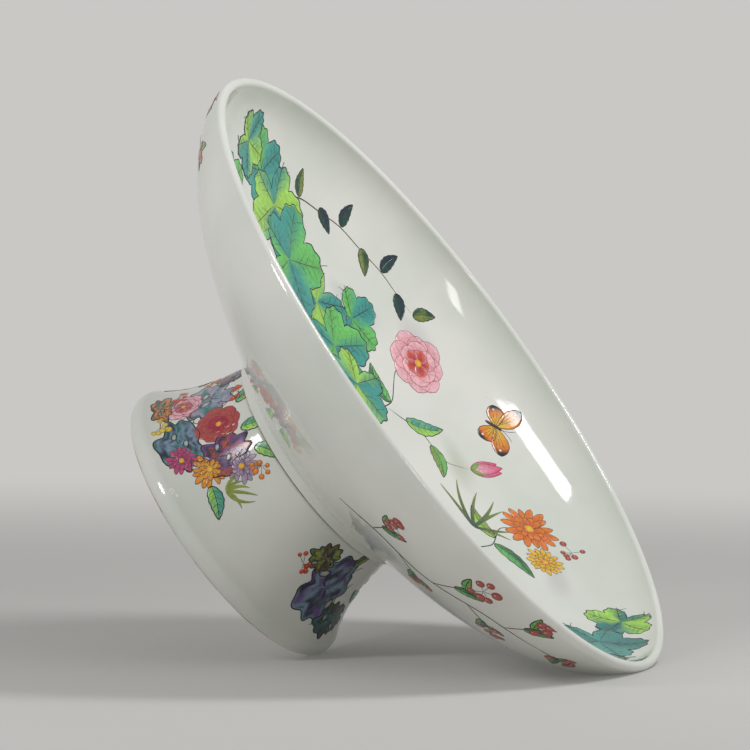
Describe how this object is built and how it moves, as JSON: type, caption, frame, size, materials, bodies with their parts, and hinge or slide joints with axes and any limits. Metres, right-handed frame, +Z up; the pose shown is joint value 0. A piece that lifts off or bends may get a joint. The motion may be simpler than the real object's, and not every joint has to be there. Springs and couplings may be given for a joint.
{
  "type": "high-footed plate",
  "caption": "Round porcelain plate: a deep saucer-shaped dish luted onto a hollow flared foot, glazed, with painted enamel flowers.",
  "frame": {"origin": "centre of the standing ring, on the surface that the plate stands on", "axes": "+Z up along the axis of the plate; the plate is turned, so X and Y are any two square directions"},
  "size_m": [0.3012, 0.3012, 0.1205],
  "materials": {
    "glazed_porcelain": "clear gloss glaze over pale greenish-grey white porcelain",
    "luting_slip": "matt fired slip, brownish"
  },
  "bodies": {
    "root": {"foot": "glazed_porcelain", "luting_seam": "luting_slip", "dish": "glazed_porcelain"}
  },
  "joints": []
}
